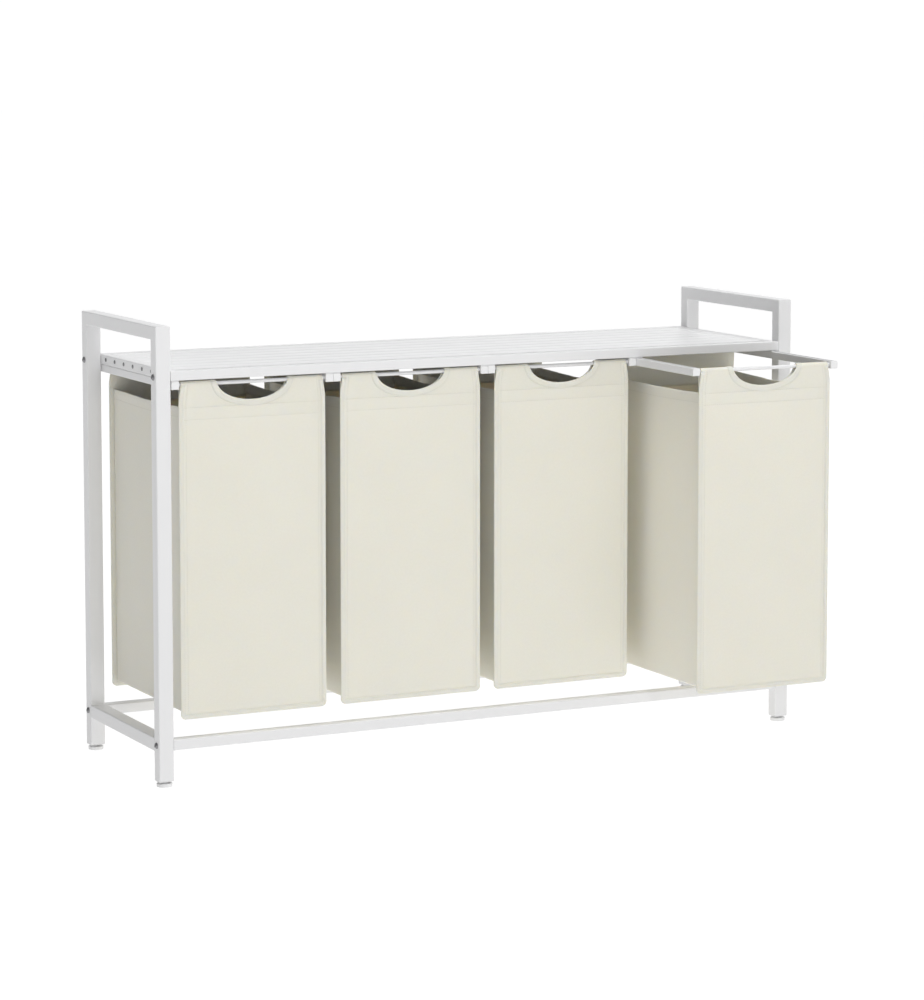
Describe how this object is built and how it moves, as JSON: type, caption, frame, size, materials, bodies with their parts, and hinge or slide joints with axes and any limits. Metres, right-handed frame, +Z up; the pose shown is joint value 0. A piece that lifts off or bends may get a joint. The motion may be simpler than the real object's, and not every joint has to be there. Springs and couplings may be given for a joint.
{
  "type": "laundry sorter",
  "caption": "Free-standing steel laundry sorter with a slatted shelf between raised end handles and a row of fabric bags that pull out forwards on rails.",
  "frame": {"origin": "on the floor, at the centre of the whole object's footprint with the right-hand bag pulled out 187 mm", "axes": "+X to the right along the row of bags, -Y to the front, +Z up"},
  "size_m": [1.1658, 0.5185, 0.73],
  "materials": {
    "frame_paint": "white powder coat, satin, with a fine orange-peel texture",
    "rail_paint": "white powder coat, satin",
    "rod_steel": "white coated round wire",
    "track_steel": "white coated steel strip",
    "bolt_steel": "zinc-plated dome head",
    "foot_plastic": "white moulded plastic, matte",
    "fabric": "ivory coated Oxford weave, matte, with bound seams"
  },
  "bodies": {
    "stand": {"base_rail_front": "frame_paint", "base_rail_rear": "frame_paint", "bolt_lower_front_left": "bolt_steel", "bolt_lower_front_right": "bolt_steel", "bolt_lower_rear_left": "bolt_steel", "bolt_lower_rear_right": "bolt_steel", "bolt_upper_front_left": "bolt_steel", "bolt_upper_front_right": "bolt_steel", "bolt_upper_rear_left": "bolt_steel", "bolt_upper_rear_right": "bolt_steel", "handle_bar_left": "frame_paint", "handle_bar_right": "frame_paint", "leg_front_left": "frame_paint", "leg_front_right": "frame_paint", "leg_rear_left": "frame_paint", "leg_rear_right": "frame_paint", "shelf_end_left": "frame_paint", "shelf_end_right": "frame_paint", "shelf_rail_front": "frame_paint", "shelf_rail_rear": "frame_paint", "shelf_slat_1": "frame_paint", "shelf_slat_2": "frame_paint", "shelf_slat_3": "frame_paint", "shelf_slat_4": "frame_paint", "shelf_slat_5": "frame_paint", "shelf_slat_6": "frame_paint", "shelf_slat_7": "frame_paint", "side_rail_left": "frame_paint", "side_rail_right": "frame_paint", "track_divider_1": "track_steel", "track_divider_2": "track_steel", "track_divider_3": "track_steel", "track_left_end": "track_steel", "track_right_end": "track_steel"},
    "bag_1": {"laundry_bag_1": "fabric", "bag_rail_1_left": "rail_paint", "bag_rail_1_right": "rail_paint", "bag_rod_1_front": "rod_steel", "bag_rod_1_rear": "rod_steel"},
    "bag_2": {"laundry_bag_2": "fabric", "bag_rail_2_left": "rail_paint", "bag_rail_2_right": "rail_paint", "bag_rod_2_front": "rod_steel", "bag_rod_2_rear": "rod_steel"},
    "bag_3": {"laundry_bag_3": "fabric", "bag_rail_3_left": "rail_paint", "bag_rail_3_right": "rail_paint", "bag_rod_3_front": "rod_steel", "bag_rod_3_rear": "rod_steel"},
    "bag_4": {"laundry_bag_4": "fabric", "bag_rail_4_left": "rail_paint", "bag_rail_4_right": "rail_paint", "bag_rod_4_front": "rod_steel", "bag_rod_4_rear": "rod_steel"},
    "foot_front_left": {"levelling_foot_front_left": "foot_plastic"},
    "foot_rear_left": {"levelling_foot_rear_left": "foot_plastic"},
    "foot_front_right": {"levelling_foot_front_right": "foot_plastic"},
    "foot_rear_right": {"levelling_foot_rear_right": "foot_plastic"}
  },
  "joints": [
    {"name": "bag_1_pull_out", "type": "slide", "parent": "stand", "child": "bag_1", "axis": [0, -1, 0], "range_m": [0, 0.232]},
    {"name": "bag_2_pull_out", "type": "slide", "parent": "stand", "child": "bag_2", "axis": [0, -1, 0], "range_m": [0, 0.232]},
    {"name": "bag_3_pull_out", "type": "slide", "parent": "stand", "child": "bag_3", "axis": [0, -1, 0], "range_m": [0, 0.232]},
    {"name": "bag_4_pull_out", "type": "slide", "parent": "stand", "child": "bag_4", "axis": [0, -1, 0], "range_m": [-0.187, 0.045]},
    {"name": "foot_front_left_height", "type": "slide", "parent": "stand", "child": "foot_front_left", "axis": [0, 0, -1], "range_m": [-0.0025, 0.008]},
    {"name": "foot_rear_left_height", "type": "slide", "parent": "stand", "child": "foot_rear_left", "axis": [0, 0, -1], "range_m": [-0.0025, 0.008]},
    {"name": "foot_front_right_height", "type": "slide", "parent": "stand", "child": "foot_front_right", "axis": [0, 0, -1], "range_m": [-0.0025, 0.008]},
    {"name": "foot_rear_right_height", "type": "slide", "parent": "stand", "child": "foot_rear_right", "axis": [0, 0, -1], "range_m": [-0.0025, 0.008]}
  ]
}
